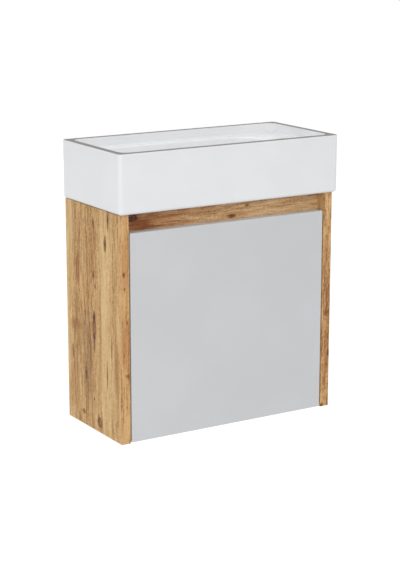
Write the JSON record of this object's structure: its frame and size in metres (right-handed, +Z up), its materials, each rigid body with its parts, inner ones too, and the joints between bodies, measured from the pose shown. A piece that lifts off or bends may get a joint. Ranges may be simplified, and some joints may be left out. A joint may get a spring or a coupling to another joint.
{
  "type": "wall-hung vanity unit",
  "caption": "Narrow wall-hung washbasin cabinet: boxy ceramic basin with a side tap deck on an oak-decor carcase with one inset grey handleless door.",
  "frame": {"origin": "centre of the four wall screw holes, on the wall plane", "axes": "+X to the right seen from the front, +Y into the wall, +Z up; the door faces -Y"},
  "size_m": [0.4, 0.187, 0.4534],
  "materials": {
    "oak_sides": "oak decor melamine on chipboard, matt",
    "oak_edging": "oak decor edge band, matt",
    "oak_rail": "oak decor melamine, grain across",
    "oak_boards": "oak decor melamine on chipboard, matt",
    "beech": "bare beech",
    "zinc_steel": "bright zinc plate",
    "nickel_steel": "nickel plate",
    "white_plastic": "moulded, fine matt",
    "silicone": "sanitary silicone",
    "glazed_ceramic": "white gloss glaze",
    "chrome": "polished",
    "brass": "turned",
    "gasket_rubber": "black rubber",
    "door_lacquer": "light grey satin lacquer on MDF",
    "clear_bumper": "clear soft polyurethane"
  },
  "bodies": {
    "cabinet": {"side_panel_left": "oak_sides", "side_panel_right": "oak_sides", "edge_band_left": "oak_edging", "edge_band_right": "oak_edging", "bottom_panel": "oak_boards", "front_rail": "oak_rail", "rear_top_rail": "oak_boards", "rear_bottom_rail": "oak_boards", "shelf": "oak_boards", "shelf_pins": "zinc_steel", "dowels": "beech", "cam_bolts": "zinc_steel", "cam_locks": "zinc_steel", "hanger_housing_left": "white_plastic", "hanger_housing_right": "white_plastic", "hanger_hook_left": "zinc_steel", "hanger_hook_right": "zinc_steel", "wall_plate_left": "zinc_steel", "wall_plate_right": "zinc_steel", "hanger_adjusting_screws": "zinc_steel", "hanger_fixing_screws": "zinc_steel", "basin_seal": "silicone", "washbasin": "glazed_ceramic", "waste_body": "chrome", "waste_upper_gasket": "gasket_rubber", "waste_lower_gasket": "gasket_rubber", "waste_locknut": "brass", "hinge_arm_lower": "nickel_steel", "hinge_arm_upper": "nickel_steel", "hinge_plate_lower": "nickel_steel", "hinge_plate_upper": "nickel_steel", "hinge_arm_pins": "zinc_steel", "hinge_plate_screws": "zinc_steel", "hinge_arm_screws": "zinc_steel"},
    "hinge_links": {"hinge_link_lower": "nickel_steel", "hinge_link_upper": "nickel_steel"},
    "door": {"door_panel": "door_lacquer", "door_bumpers": "clear_bumper", "hinge_cup_lower": "nickel_steel", "hinge_cup_upper": "nickel_steel", "hinge_cup_pins": "zinc_steel", "hinge_cup_screws": "zinc_steel"},
    "waste_plug": {"waste_plug": "chrome"}
  },
  "joints": [
    {"name": "link_swing", "type": "hinge", "parent": "cabinet", "child": "hinge_links", "pos_m": [-0.1449, -0.1574, -0.148], "axis": [0, 0, 1], "range_deg": [0, 47.5]},
    {"name": "door_swing", "type": "hinge", "parent": "hinge_links", "child": "door", "pos_m": [-0.1661, -0.166, -0.148], "axis": [0, 0, -1], "range_deg": [0, 142.4]},
    {"name": "plug_lift", "type": "slide", "parent": "cabinet", "child": "waste_plug", "axis": [0, 0, 1], "range_m": [0, 0.008]}
  ],
  "couplings": [
    {"joint": "link_swing", "follows": "door_swing", "ratio": 0.33287}
  ]
}
